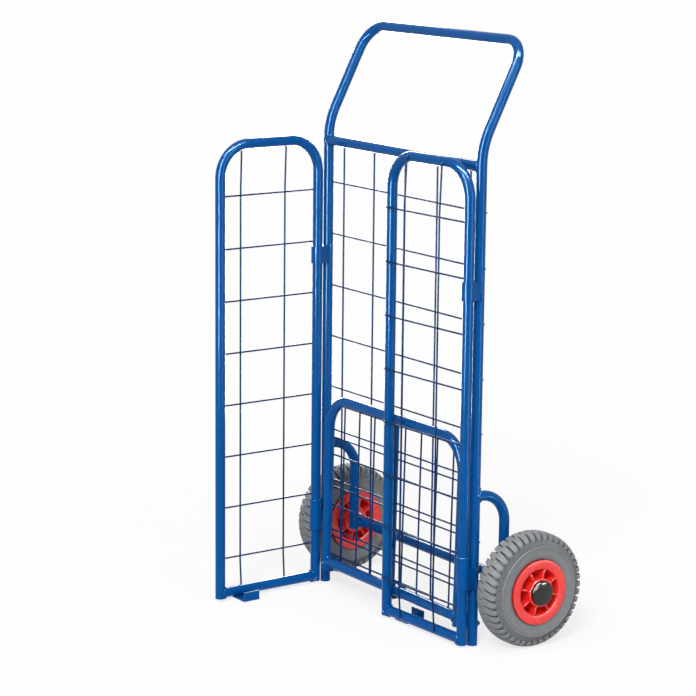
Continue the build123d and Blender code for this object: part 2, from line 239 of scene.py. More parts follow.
def copied(source, matrix):
    """A copy of a piece with its own mesh, moved to its place."""
    twin = bpy.data.objects.new(source.name, source.data.copy())
    bpy.context.scene.collection.objects.link(twin)
    twin.data.transform(matrix)
    return twin


def removed(*patterns):
    """Takes away pieces that were only copied from."""
    for pattern in patterns:
        bpy.data.objects.remove(pattern, do_unlink=True)


def joined(pieces, name):
    """Joins pieces into one, named for what it is."""
    take(*pieces)
    bpy.ops.object.join()
    whole = bpy.context.view_layer.objects.active
    whole.name = name
    whole.data.name = name
    return whole


def smooth(piece, angle):
    """Shades a piece smooth, apart from edges sharper than the angle in degrees."""
    take(piece)
    bpy.ops.object.shade_smooth_by_angle(angle=radians(angle))


def drawn(points):
    """Draws an open line by extruding one point from the last, and leaves it in edit mode."""
    rest()
    bpy.ops.mesh.primitive_plane_add(size=MM, location=(0, 0, 0))
    line = bpy.context.object
    edit(line)
    bpy.ops.mesh.merge(type="CENTER")
    bpy.ops.transform.translate(value=points[0])
    for start, end in zip(points, points[1:]):
        step = Vector(end) - Vector(start)
        bpy.ops.mesh.extrude_vertices_move(TRANSFORM_OT_translate={"value": step})
    bpy.ops.mesh.select_all(action="SELECT")
    return line


def turned(profile, steps, axis="X"):
    """Spins a profile of (along, radius) points, in millimetres, into a closed turned piece."""
    if axis == "X":
        points = [Vector((along, 0, radius)) * MM for along, radius in profile]
        direction = (1, 0, 0)
    else:
        points = [Vector((radius, 0, along)) * MM for along, radius in profile]
        direction = (0, 0, 1)
    piece = drawn(points)
    bpy.ops.mesh.spin(steps=steps, angle=2 * pi, center=(0, 0, 0), axis=direction)
    bpy.ops.mesh.select_all(action="SELECT")
    bpy.ops.mesh.remove_doubles(threshold=0.01 * MM)
    bpy.ops.mesh.normals_make_consistent(inside=False)
    done()
    return piece


def around(piece, count):
    """Repeats a piece evenly round the X axis."""
    edit(piece)
    last = 2 * pi * (count - 1) / count
    bpy.ops.mesh.spin(steps=count - 1, dupli=True, angle=last, center=(0, 0, 0), axis=(1, 0, 0))
    done()
    return piece


def dressed(piece, name, material, body, replaced=()):
    """Names a finished piece, gives it its finish and lets it ride on its body."""
    piece.name = name
    piece.data.name = name
    piece.data.materials.clear()
    piece.data.materials.append(material)
    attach(piece, body)
    if replaced:
        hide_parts(*replaced)


# Materials

# A Mix node's colour sockets share their names with its other kinds, so they go by number
MIX_FACTOR = 0
MIX_FIRST = 6
MIX_SECOND = 7
MIX_RESULT = 2

# Most of a noise lies between these values
NOISE_LOW = 0.3
NOISE_HIGH = 0.7


def per_mm(size):
    """Noise scale whose features are about this many millimetres across."""
    return 1 / (size * MM)


def add(tree, kind, values=None, links=None, **settings):
    """Adds one node with its settings, its input values and its links."""
    node = tree.nodes.new(kind)
    for name, value in settings.items():
        setattr(node, name, value)
    for name, value in (values or {}).items():
        node.inputs[name].default_value = value
    for name, source in (links or {}).items():
        tree.links.new(source, node.inputs[name])
    return node


def opened(name):
    """A material of this name with an empty node tree, or the finished one and no tree."""
    material = bpy.data.materials.get(name)
    if material:
        return material, None
    material = bpy.data.materials.new(name)
    material.use_nodes = True
    material.node_tree.nodes.clear()
    return material, material.node_tree


def surface(tree, colour, tone, tone_mm, rough, rough_mm, bump, bump_mm, shader):
    """Joins a cloudy tone, a cloudy roughness and a fine bump to one shader.

    The tone and the roughness go from the least to the most that is given, and the bump has a strength and
    a height in millimetres. What ends in _mm is how far across the clouds or the bumps are.
    """
    place = add(tree, "ShaderNodeTexCoord").outputs["Object"]
    cloud = add(tree, "ShaderNodeTexNoise", {"Scale": per_mm(tone_mm), "Detail": 3.0}, {"Vector": place})
    dark, light = [[min(1, c * level) for c in colour] + [1] for level in tone]
    mix = add(
        tree, "ShaderNodeMix",
        {MIX_FIRST: dark, MIX_SECOND: light}, {MIX_FACTOR: cloud.outputs["Fac"]}, data_type="RGBA",
    )
    wear = add(tree, "ShaderNodeTexNoise", {"Scale": per_mm(rough_mm), "Detail": 4.0}, {"Vector": place})
    level = add(
        tree, "ShaderNodeMapRange",
        {"From Min": NOISE_LOW, "From Max": NOISE_HIGH, "To Min": rough[0], "To Max": rough[1]},
        {"Value": wear.outputs["Fac"]},
    )
    grain = add(tree, "ShaderNodeTexNoise", {"Scale": per_mm(bump_mm), "Detail": 2.0}, {"Vector": place})
    relief = add(
        tree, "ShaderNodeBump",
        {"Strength": bump[0], "Distance": bump[1] * MM}, {"Height": grain.outputs["Fac"]},
    )
    finish = add(tree, "ShaderNodeBsdfPrincipled", shader, {
        "Base Color": mix.outputs[MIX_RESULT],
        "Roughness": level.outputs["Result"],
        "Normal": relief.outputs["Normal"],
    })
    add(tree, "ShaderNodeOutputMaterial", None, {"Surface": finish.outputs["BSDF"]})


def powder_coat():
    """Gloss polyester powder coat on steel tube, sprayed dry and baked."""
    # Baked powder flows into a deep, glossy skin with a faint orange peel about 2 mm across, drawn here
    # at 5 mm so that it shows. The pigment tints its weak reflections, and bright lamps still show white.
    material, tree = opened("gentian_blue_powder_coat")
    if tree:
        surface(
            tree, bpy.context.scene.cart_colours.frame_blue,
            tone=(0.88, 1.1), tone_mm=70, rough=(0.13, 0.2), rough_mm=18, bump=(0.12, 0.12), bump_mm=5,
            shader={"IOR": 1.5, "Specular IOR Level": 0.16, "Specular Tint": linear("#A4D6FF") + [1]},
        )
    return material


def wire_coat_painted_shade():
    """The same powder coat on thin drawn wire, with painted shade in its colour."""
    # The coat is the tubes' own. Its deeper, duller blue is painted shade that stands in for the shade on the thin
    # wire's sides.
    material, tree = opened("gentian_blue_coat_on_wire_painted_shade")
    if tree:
        surface(
            tree, bpy.context.scene.cart_colours.wire_blue_painted_shade,
            tone=(0.8, 1.15), tone_mm=40, rough=(0.22, 0.34), rough_mm=10, bump=(0.12, 0.08), bump_mm=3,
            shader={"IOR": 1.5, "Specular IOR Level": 0.12, "Specular Tint": linear("#A4D6FF") + [1]},
        )
    return material


def tyre_rubber():
    """Grey non-marking natural rubber, moulded and vulcanised."""
    # Vulcanised rubber leaves the mould dull, with a fine grain and slightly cloudy grey filler.
    material, tree = opened("grey_vulcanised_rubber")
    if tree:
        surface(
            tree, bpy.context.scene.cart_colours.tyre_grey,
            tone=(0.86, 1.12), tone_mm=14, rough=(0.62, 0.82), rough_mm=9, bump=(0.25, 0.15), bump_mm=1.6,
            shader={"IOR": 1.52, "Specular IOR Level": 0.2},
        )
    return material


def rim_plastic():
    """Red polypropylene, injection moulded."""
    # A polished mould gives a waxy gloss with soft highlights, broken by slight flow marks.
    material, tree = opened("red_moulded_polypropylene")
    if tree:
        surface(
            tree, bpy.context.scene.cart_colours.rim_red,
            tone=(0.92, 1.06), tone_mm=25, rough=(0.24, 0.36), rough_mm=12, bump=(0.08, 0.08), bump_mm=3,
            shader={"IOR": 1.49, "Subsurface Weight": 0.05, "Subsurface Scale": 2 * MM},
        )
    return material


def cap_plastic():
    """Black polyethylene, injection moulded in a polished die."""
    # Nearly a mirror for lamps, with faint handling marks in its gloss.
    material, tree = opened("black_polished_polyethylene")
    if tree:
        surface(
            tree, bpy.context.scene.cart_colours.cap_black,
            tone=(0.9, 1.1), tone_mm=20, rough=(0.07, 0.14), rough_mm=6, bump=(0.05, 0.05), bump_mm=8,
            shader={"IOR": 1.51},
        )
    return material


def zinc_steel():
    """Zinc-plated mild steel, barrel plated and passivated."""
    # A thin satin plating, a little cloudy, with fine tumbling marks.
    material, tree = opened("zinc_plated_steel")
    if tree:
        surface(
            tree, linear("#B9BCC0"),
            tone=(0.85, 1.08), tone_mm=8, rough=(0.28, 0.42), rough_mm=4, bump=(0.12, 0.04), bump_mm=1.2,
            shader={"Metallic": 1.0},
        )
    return material


def tube_rubber():
    """Black butyl rubber of an inner tube, calendered."""
    # Soft and dull, dusted with talc.
    material, tree = opened("black_butyl_rubber")
    if tree:
        surface(
            tree, linear("#1B1B1C"),
            tone=(0.8, 1.5), tone_mm=12, rough=(0.6, 0.8), rough_mm=6, bump=(0.15, 0.1), bump_mm=2,
            shader={"IOR": 1.52},
        )
    return material


def bearing_nylon():
    """Natural nylon of a pressed-in roller bearing cage."""
    # Milky white and satin, slightly yellow with oil.
    material, tree = opened("natural_nylon")
    if tree:
        surface(
            tree, linear("#D9D6C8"),
            tone=(0.92, 1.03), tone_mm=6, rough=(0.35, 0.5), rough_mm=5, bump=(0.08, 0.05), bump_mm=2,
            shader={"IOR": 1.53},
        )
    return material


def valve_brass():
    """Turned brass of a tyre valve's stem."""
    # Warm yellow, dulled by handling, with fine turning marks.
    material, tree = opened("turned_brass")
    if tree:
        surface(
            tree, linear("#B79A5B"),
            tone=(0.8, 1.05), tone_mm=4, rough=(0.25, 0.4), rough_mm=3, bump=(0.15, 0.04), bump_mm=0.8,
            shader={"Metallic": 1.0},
        )
    return material


# Drawing frames of the moving groups and of the tube joints

def gate_frame(side):
    """Stands a gate's own drawing frame on its hinge: X along the gate, -Y out of its outer face."""
    sign = -1 if side == "left" else 1
    swing = Matrix.Rotation(radians(GATE_TURN[side]), 4, "Z")
    return Matrix.Translation(Vector((sign * HALF_TRACK, GATE_Y, 0)) * MM) @ swing


def toe_frame():
    """Stands the toe plate's own drawing frame on its pivot."""
    return Matrix.Translation(PIVOT * MM) @ Matrix.Rotation(radians(TOE_LEAN), 4, "X")


def wheel_frame(side):
    """Places a wheel drawn about the X axis, with its cap to +X, on its end of the axle."""
    sign = -1 if side == "left" else 1
    place = Matrix.Translation(Vector((sign * WHEEL_X, AXLE_Y, AXLE_Z)) * MM)
    facing = Matrix.Rotation(pi if side == "left" else 0, 4, "Z")
    return place @ facing @ Matrix.Rotation(sign * radians(WHEEL_TURN), 4, "X")


def joint_frame(at, branch, main):
    """A tube joint's frame: X along the branch tube, Z along the main tube, origin where the axes meet."""
    x = Vector(branch).normalized()
    z = Vector(main).normalized()
    y = z.cross(x)
    facing = Matrix((x, y, z)).transposed().to_4x4()
    return Matrix.Translation(Vector(at) * MM) @ facing


# Weld beads, each shape modelled once

CROSSING = (0.62, 0.62, 0.7)                            # a weld between wires, as a share of one on a tube
AXLE_WELD = (1.6, 2.2, 2.4)                             # the same for the weld between a carrier and the axle
SPOT_SINK = 1.0                                         # how far a spot weld sinks towards its tube
BAR_END_UP = 9.0                                        # where upright wires end over a lower bar's axis
BAR_END_DOWN = 6.5                                      # and under the upper crossbar's axis
STRAP_BEAD_OUT = 0.4                                    # a strap's bead outside of its tube's skin
STRAP_BEAD_FRONT = 1.5                                  # and in front of the tube's axis
AXLE_WELD_SIDE = 8.0                                    # a carrier's weld beside the middle of its leg
AXLE_WELD_DOWN = 2.0                                    # and under the axle's axis


def uneven(offset, seed):
    """In edit mode, makes what is selected as uneven as a hand-laid weld."""
    bpy.ops.transform.vertex_random(offset=offset, uniform=1.0, seed=seed)


def torus(radius, thickness, segments):
    """A ring round the Z axis, left in edit mode."""
    rest()
    bpy.ops.mesh.primitive_torus_add(
        major_radius=radius * MM, minor_radius=thickness, major_segments=segments, minor_segments=8,
    )
    piece = bpy.context.object
    edit(piece)
    return piece


def half_bead(tilt, seed):
    """Half of the bead that runs round a tube welded square onto another."""
    sizes = bpy.context.scene.cart_sizes
    bead = torus(TUBE, sizes.weld_bead, segments=44)
    scale(sqrt(2), 1, 1)
    turn(tilt, "Y")
    bpy.ops.mesh.bisect(plane_co=(0, 0, 0), plane_no=(1, 0, 0), use_fill=True, clear_inner=True)
    bpy.ops.mesh.select_all(action="SELECT")
    uneven(sizes.weld_roughness, seed)
    done()
    return bead


def tee_bead():
    """The whole bead round a square joint of two equal tubes: branch along +X, main tube along Z."""
    return joined([half_bead(-pi / 4, 3), half_bead(pi / 4, 8)], "tee_bead")


def ring_bead():
    """A rough bead laid once round a tube, somewhat broader than it is thick."""
    sizes = bpy.context.scene.cart_sizes
    bead = torus(TUBE + 1, sizes.weld_bead, segments=36)
    scale(1, 1, 1.3)
    uneven(sizes.weld_roughness * 1.4, 5)
    done()
    return bead


def straight_bead(strap):
    """A rough bead laid in a straight line along Z, as long as a hinge strap is high."""
    sizes = bpy.context.scene.cart_sizes
    length = strap[1] - strap[0]
    rest()
    bpy.ops.mesh.primitive_cylinder_add(vertices=8, radius=sizes.weld_bead, depth=length * MM)
    bead = bpy.context.object
    edit(bead)
    # Its ends are drawn out to a blunt point, and its long edges are cut about every 4 mm
    select_where(bead, "FACE", lambda face: abs(face.normal.z) > 0.9)
    bpy.ops.mesh.inset(thickness=sizes.weld_bead * 0.5)
    scale(1, 1, 1.08)
    select_where(bead, "EDGE", lambda edge: edge.calc_length() > length * MM * 0.8)
    bpy.ops.mesh.subdivide(number_cuts=max(2, round(length / 4)))
    bpy.ops.mesh.select_all(action="SELECT")
    uneven(sizes.weld_roughness, 11)
    done()
    return bead


def spot_bead():
    """A spot weld where a wire lies on a tube: a low, uneven drop."""
    sizes = bpy.context.scene.cart_sizes
    rest()
    bpy.ops.mesh.primitive_ico_sphere_add(subdivisions=2, radius=sizes.wire_spot)
    spot = bpy.context.object
    edit(spot)
    scale(1, 0.55, 0.85)
    uneven(sizes.weld_roughness * 0.6, 2)
    done()
    return spot


def laid(bead, place, grid=Matrix.Identity(4), size=(1, 1, 1)):
    """A copy of a bead at a place in millimetres on a drawing frame."""
    return copied(bead, grid @ Matrix.Translation(Vector(place) * MM) @ Matrix.Diagonal((*size, 1)))


def finish_welds(beads, body):
    """Joins the beads of one body and coats them as its tubes are coated."""
    name = body + "_welds"
    whole = joined(beads, name)
    smooth(whole, 60)
    dressed(whole, name, powder_coat(), body)


def frame_welds(tee, spot, upper_bead, lower_bead):
    """Welds the crossbars, carriers, hinge straps and back wires to the uprights."""
    up = (0, 0, 1)
    beads = []
    for sign in (-1, 1):
        x = sign * HALF_TRACK
        inward = (-sign, 0, 0)
        low_bar = (x, UPRIGHT_Y + LOW_BAR_BACK, LOW_BAR_Z)
        beads.append(copied(tee, joint_frame((x, UPRIGHT_Y, CROSSBAR_Z), inward, up)))
        beads.append(copied(tee, joint_frame(low_bar, inward, up)))
        beads.append(copied(tee, joint_frame((x, UPRIGHT_Y, CARRIER_Z), (0, 1, 0), up)))
        for side in (-1, 1):
            bead_x = x + side * (TUBE + STRAP_BEAD_OUT)
            for strap, bead in ((UPPER_STRAP, upper_bead), (LOWER_STRAP, lower_bead)):
                beads.append(laid(bead, (bead_x, UPRIGHT_Y - STRAP_BEAD_FRONT, sum(strap) / 2)))
            leg_back = UPRIGHT_Y + CARRIER_BACK + TUBE
            leg = (x + side * AXLE_WELD_SIDE, leg_back, AXLE_Z - AXLE_WELD_DOWN)
            beads.append(laid(spot, leg, size=AXLE_WELD))
        for z in BACK_ROWS:
            beads.append(laid(spot, (x, UPRIGHT_Y + WIRE_SEAT - SPOT_SINK, z)))
    for x in BACK_COLUMNS:
        beads.append(laid(spot, (x, UPRIGHT_Y + WIRE_INNER, CROSSBAR_Z - BAR_END_DOWN)))
        # The toe plate's middle strap wraps the lower bar where the middle wire ends
        if x:
            beads.append(laid(spot, (x, UPRIGHT_Y + WIRE_INNER, LOW_BAR_Z + BAR_END_UP)))
        for z in BACK_ROWS:
            beads.append(laid(spot, (x, UPRIGHT_Y + (WIRE_SEAT + WIRE_INNER) / 2, z), size=CROSSING))
    finish_welds(beads, "frame")


def gate_welds(side, tee, spot, ring):
    """Welds a gate's lower bar, wires and collar to its bent tube."""
    grid = gate_frame(side)
    way = 1 if side == "left" else -1
    beads = []
    for along, branch in ((0, way), (GATE_WIDTH, -way)):
        bar = joint_frame((way * along, 0, GATE_BAR_Z), (branch, 0, 0), (0, 0, 1))
        beads.append(copied(tee, grid @ bar))
        for z in GATE_ROWS:
            beads.append(laid(spot, (way * along, SPOT_SINK - WIRE_SEAT, z), grid))
    for along in GATE_COLUMNS:
        for z in (GATE_BAR_Z, GATE_TOP_Z):
            beads.append(laid(spot, (way * along, SPOT_SINK - WIRE_SEAT, z), grid))
        for z in GATE_ROWS:
            beads.append(laid(spot, (way * along, -WIRE_SEAT - WIRE, z), grid, CROSSING))
    beads.append(laid(ring, (0, 0, COLLAR_TOP), grid))
    finish_welds(beads, side + "_gate")


def toe_welds(tee, spot):
    """Welds the toe plate's lower bars, strut and wires to its bent tube."""
    grid = toe_frame()
    beads = []
    for x, branch in ((-TOE_HALF, 1), (TOE_HALF, -1), (0, 1), (0, -1)):
        bar = joint_frame((x, -TOE_FRONT, TOE_BAR), (branch, 0, 0), (0, 0, 1))
        beads.append(copied(tee, grid @ bar))
    strut_top = joint_frame((0, -TOE_FRONT, TOE_TOP), (0, 0, -1), (1, 0, 0))
    beads.append(copied(tee, grid @ strut_top))
    for z in TOE_ROWS:
        for x in (-TOE_HALF, 0, TOE_HALF):
            beads.append(laid(spot, (x, WIRE_SEAT - TOE_FRONT - SPOT_SINK, z), grid))
        for x in TOE_COLUMNS:
            beads.append(laid(spot, (x, (WIRE_SEAT + WIRE_INNER) / 2 - TOE_FRONT, z), grid, CROSSING))
    for x in TOE_COLUMNS:
        beads.append(laid(spot, (x, WIRE_INNER - TOE_FRONT, TOE_BAR + BAR_END_UP), grid))
    finish_welds(beads, "toe_plate")


# Wheels, drawn about the X axis with the cap to +X. A profile gives (along the axle, radius) in millimetres.

# The tyre from the middle of the tread over the shoulder and the two sidewall rings to the bead
CARCASS = [
    (0, 118.5), (8, 118.2), (16, 116.4), (21, 113.8), (25, 110.8), (27.8, 107.2), (29.8, 103.6),
    (31.4, 101.6), (33.6, 100.9), (35.4, 100.6), (36.2, 100.0), (36.4, 98.9), (36.2, 97.8), (35.0, 97.0),
    (34.7, 96.2), (34.9, 95.4), (35.7, 95.0), (35.9, 94.2), (35.7, 93.2), (34.9, 92.6), (34.8, 90),
    (34.7, 86), (34.2, 80), (33.2, 75.5), (31.5, 72), (28.5, 70.1),
]

# Stations of a lug from the middle of the tread to the shoulder: along the axle, radius, how far the lug has
# narrowed from its full width to the width at its end, and its lag behind its root as a share of the pitch
LUG = (
    (-1.5, 127.3, 0.0, 0.015), (5, 127.4, 0.05, 0.04), (11, 127.1, 0.2, 0.1), (16, 126.4, 0.35, 0.17),
    (21, 125.0, 0.55, 0.245), (25.5, 122.7, 0.8, 0.32), (28.8, 119.8, 0.95, 0.363), (30.8, 116.4, 1.0, 0.38),
)
LUG_ROOT = 0.86                                         # share of the pitch that a lug covers at its root
LUG_FOOT = 0.88                                         # share of its reach along the axle left at its foot
LUG_BURIED = 0.6                                        # added to its height to sink its foot in the tyre
LUG_RADIUS = 125                                        # mean radius of the lugs
LUG_BEVEL = 0.6

# A fine rib of the tyre's shoulder: its size along the axle, across and out from it, and its middle's place
FINE_RIB = (6, 2.1, 14.5)
FINE_RIB_LEAN = 25
FINE_RIB_ALONG = 29.7
FINE_RIB_RADIUS = 105.6

# The rim from the middle of its barrel round the flange, down the pocket and over the web to the hub
RIM_SIDE = [
    (0, 69.6), (30, 69.6), (35.9, 70.2), (36.4, 71.4), (37.1, 72.0), (37.9, 71.9), (38.5, 71.2),
    (38.7, 69.6), (38.6, 64), (38.2, 58), (37.7, 54.2), (37.1, 52.4), (36.1, 51.4), (34.6, 51.0),
    (26, 50.3), (14, 49.6), (5, 49.1), (3.0, 48.6), (2.1, 47.4),
    (2.0, 46), (2.0, 35), (2.1, 33.4), (3.0, 32.2), (4.8, 31.7),
]

# The hub from the cap's side, with the lip round the cap, through the bore to the other side
RIM_HUB = [
    (34, 30.3), (39.2, 30.1), (40.2, 31.0), (41.2, 31.6), (42.6, 31.7), (43.5, 31.2), (43.7, 30.4),
    (43.5, 28.1), (42.6, 27.75), (23.8, 27.7), (23.8, 14.2), (-37, 14.2), (-37, 29.6), (-36.4, 30.4),
    (-34, 30.8),
]

# A rib of the rim: its size along the axle, across and out from it, and where its middle lies
RIM_RIB = (76, 3.128, 21)
RIM_RIB_RADIUS = 40.4
RIB_EDGE = 0.5                                          # how far the edges of both kinds of rib are softened

# The domed cap, from the middle of its back to the middle of its face
CAP = [
    (40.2, 0), (40.2, 26.8), (40.6, 27.5), (47.6, 27.6), (48.6, 27.4), (49.3, 26.8), (49.8, 25.6),
    (50.5, 21.5), (51.2, 16), (51.8, 10), (52.1, 5), (52.2, 0),
]

# The valve's stem, from its tip outwards
STEM = [
    (44.2, 0), (44.2, 2.5), (44.6, 3.0), (52.4, 3.0), (52.8, 2.5), (53.2, 2.5), (53.6, 2.3), (58, 2.3),
    (58.4, 2.8), (60, 3.4), (63, 3.6), (69.8, 3.65), (69.8, 0),
]
STEM_ALONG = 15                                         # the stem's axis from the wheel's middle


def tyre_carcass():
    """The smooth body of the tyre, with its two sidewall rings."""
    far = [(-along, radius) for along, radius in reversed(CARCASS[1:])]
    return turned(far + CARCASS + [far[0]], steps=120)


def angle_about_x(point):
    """How far a point is turned about the X axis, from +Z towards -Y."""
    return atan2(-point.co.y, point.co.z)


def tread_lug(sizes):
    """One lug of the outer half of the tread: broad at its root, narrow and swept back at the shoulder."""
    pitch = 2 * pi / sizes.tread_lugs
    lug = drawn([Vector((along, 0, radius)) * MM for along, radius, closed, lag in LUG])
    bpy.ops.mesh.spin(steps=2, angle=pitch * LUG_ROOT, center=(0, 0, 0), axis=(1, 0, 0))
    angles = [angle_about_x(point) for point in bmesh.from_edit_mesh(lug.data).verts]
    middle = (min(angles) + max(angles)) / 2
    # The lug's three rows of points are told apart by their angle. In this order a row that has been moved
    # isn't taken for one that is still to be moved.
    row_gap = pitch * 0.4
    for along, radius, closed, lag in LUG:
        narrowed = pitch * (LUG_ROOT - sizes.lug_end) * closed / 2
        for row in (1, 0, -1):
            def in_row(point):
                near = abs(point.co.x - along * MM) < 0.1 * MM
                return near and round((angle_about_x(point) - middle) / row_gap) == row

            select_where(lug, "VERT", in_row)
            turn(row * narrowed - pitch * lag, "X")
    bpy.ops.mesh.select_all(action="SELECT")
    bpy.ops.mesh.extrude_region_move()
    sink = 1 - (sizes.lug_height / MM + LUG_BURIED) / LUG_RADIUS
    scale(LUG_FOOT, sink, sink)
    bpy.ops.mesh.select_all(action="SELECT")
    bpy.ops.mesh.normals_make_consistent(inside=False)
    take(lug)
    bevel = lug.modifiers.new("edges", "BEVEL")
    bevel.width = LUG_BEVEL * MM
    bevel.segments = 1
    bevel.limit_method = "ANGLE"
    bevel.angle_limit = radians(50)
    bpy.ops.object.modifier_apply(modifier="edges")
    return lug


def far_half(lug, sizes):
    """The lug of the other half of the tread: turned about and half a pitch further round."""
    twin = copied(lug, Matrix.Identity(4))
    edit(twin)
    turn(pi, "Z")
    turn(pi / sizes.tread_lugs, "X")
    done()
    return twin


def shoulder_rib(side):
    """One of the fine ribs that run from the groove of the tread down to the sidewall ring."""
    rib = box(*FINE_RIB)
    bpy.ops.mesh.bevel(offset=RIB_EDGE * MM, segments=1, affect="EDGES")
    turn(side * radians(FINE_RIB_LEAN), "Y")
    bpy.ops.transform.translate(value=Vector((side * FINE_RIB_ALONG, 0, FINE_RIB_RADIUS)) * MM)
    done()
    return rib


def make_tyre(sizes):
    """The whole tyre: carcass, both halves of the tread and the fine ribs of both shoulders."""
    lug = tread_lug(sizes)
    halves = [lug, far_half(lug, sizes)]
    parts = [tyre_carcass()] + [around(half, sizes.tread_lugs) for half in halves]
    if sizes.shoulder_ribs:
        ribs = sizes.shoulder_ribs * sizes.tread_lugs
        parts += [around(shoulder_rib(side), ribs) for side in (-1, 1)]
    tyre = joined(parts, "tyre")
    smooth(tyre, 38)
    return tyre


def make_rim(ribs):
    """The moulded rim: flanges, barrel, web and hub, with the valve's opening in the web."""
    far = [(-along, radius) for along, radius in reversed(RIM_SIDE)]
    rim = turned(RIM_SIDE + RIM_HUB + far, steps=144)
    # The opening keeps 8 degrees clear of the ribs on both sides, and only points of the web lie between
    # these radii
    half_opening = radians(360 / ribs / 2 - 8)
    web_inner = 34.9 * MM
    web_outer = 46.1 * MM
    web_half = 3 * MM

    def in_opening(point):
        spoke = Vector((point.co.z, point.co.y))
        in_web = web_inner < spoke.length < web_outer and abs(point.co.x) < web_half
        return in_web and spoke.angle(Vector((1, 0))) <= half_opening

    edit(rim)
    select_where(rim, "VERT", in_opening)
    bpy.ops.mesh.delete(type="FACE")
    select_where(rim, "EDGE", lambda edge: edge.is_boundary)
    bpy.ops.mesh.bridge_edge_loops()
    bpy.ops.mesh.select_all(action="SELECT")
    bpy.ops.mesh.normals_make_consistent(inside=False)
    done()
    return rim


def rim_rib(ribs):
    """One rib of the rim, with softened edges, half a step off the valve's opening."""
    rib = box(*RIM_RIB)
    bpy.ops.mesh.bevel(offset=RIB_EDGE * MM, segments=2, affect="EDGES")
    bpy.ops.transform.translate(value=(0, 0, RIM_RIB_RADIUS * MM))
    turn(pi / ribs, "X")
    done()
    return rib


# The studio, in metres, degrees and watts

FLOOR_SIZE = 90
FLOOR_GLOW = 0.75                                       # share of plain white in the floor that is looked at
ROOM_LIGHT = 0.25
AIM_Y = 0.04                                            # the lamps are aimed a little behind the origin
SUN_AIM_Z = 0.55

# Name, place, strength and spread
SUNS = (
    ("key_sun", (1.7, -2.0, 2.75), 1.9, 16),
    ("fill_sun", (3.0, -0.2, 1.95), 0.55, 30),
    ("top_sun", (0.3, -0.5, 3.0), 0.75, 50),
)

# Name, bearing, distance, height, height of its aim, width, length and power
STRIPS = (
    ("left_strip", -74, 1.7, 1.3, 1.05, 0.42, 2.1, 300),
    ("right_strip", 14, 1.9, 1.05, 1.05, 0.45, 2.1, 45),
    ("rear_strip", 150, 1.9, 1.05, 1.05, 0.4, 2.1, 50),
    ("top_strip", -35, 0.7, 2.5, 0.55, 2.6, 0.25, 400),
)

# A small window that the right hub cap mirrors
CAP_FACE = 0.05                                         # the cap's face from the wheel's middle
WINDOW_OFFSET = (0.473, 0.37, 0.03)
WINDOW_WIDTH = 0.1
WINDOW_HEIGHT = 0.07
WINDOW_POWER = 0.9

# The camera as solved from the photo: where it stands, how it is turned in radians, and its lens in
# millimetres
CAMERA_PLACE = (4.35317, -3.09114, 1.6892)
CAMERA_YAW = -0.96908
CAMERA_PITCH = 0.19876
CAMERA_ROLL = 0.01026
CAMERA_LENS = 126.909


def seen_white(tree):
    """1 for rays that look at the background: from the camera, or by a reflection or through glass."""
    path = add(tree, "ShaderNodeLightPath")
    both = add(
        tree, "ShaderNodeMath", None,
        {0: path.outputs["Is Camera Ray"], 1: path.outputs["Is Glossy Ray"]}, operation="MAXIMUM",
    )
    return add(
        tree, "ShaderNodeMath", None,
        {0: both.outputs[0], 1: path.outputs["Is Transmission Ray"]}, operation="MAXIMUM",
    ).outputs[0]


def lay_floor():
    """Lays a white floor that shows as the white background and keeps the cart's shadow."""
    rest()
    bpy.ops.mesh.primitive_plane_add(size=FLOOR_SIZE)
    floor = bpy.context.object
    floor.name = "studio_floor"
    material, tree = opened("white_studio_floor")
    if tree:
        colour = list(bpy.context.scene.cart_colours.floor_white) + [1]
        paint = add(tree, "ShaderNodeBsdfDiffuse", {"Color": colour})
        glow = add(tree, "ShaderNodeEmission", {"Color": (1, 1, 1, 1), "Strength": 1.0})
        share = add(tree, "ShaderNodeMath", {1: FLOOR_GLOW}, {0: seen_white(tree)}, operation="MULTIPLY")
        mix = add(
            tree, "ShaderNodeMixShader", None,
            {0: share.outputs[0], 1: paint.outputs[0], 2: glow.outputs[0]},
        )
        add(tree, "ShaderNodeOutputMaterial", None, {"Surface": mix.outputs[0]})
    floor.data.materials.append(material)


def light_world():
    """Gives the room a dim even light, and a white look where it is seen itself."""
    world = bpy.data.worlds.new("studio_surroundings")
    bpy.context.scene.world = world
    world.use_nodes = True
    tree = world.node_tree
    tree.nodes.clear()
    room = add(tree, "ShaderNodeBackground", {"Color": (1, 1, 1, 1), "Strength": ROOM_LIGHT})
    white = add(tree, "ShaderNodeBackground", {"Color": (1, 1, 1, 1), "Strength": 1.0})
    mix = add(
        tree, "ShaderNodeMixShader", None, {0: seen_white(tree), 1: room.outputs[0], 2: white.outputs[0]},
    )
    add(tree, "ShaderNodeOutputWorld", None, {"Surface": mix.outputs[0]})


def hang_lamp(kind, name, place, target, power):
    """Hangs one lamp and aims it."""
    bpy.ops.object.light_add(type=kind, location=place)
    lamp = bpy.context.object
    lamp.name = name
    lamp.data.energy = power
    lamp.rotation_euler = (Vector(target) - Vector(place)).to_track_quat("-Z", "Y").to_euler()
    return lamp


def hang_softbox(name, place, target, width, length, power):
    """Hangs a rectangular lamp that shows in gloss and doesn't light the colours."""
    lamp = hang_lamp("AREA", name, place, target, power)
    lamp.data.shape = "RECTANGLE"
    lamp.data.size = width
    lamp.data.size_y = length
    lamp.visible_camera = False
    lamp.visible_diffuse = False


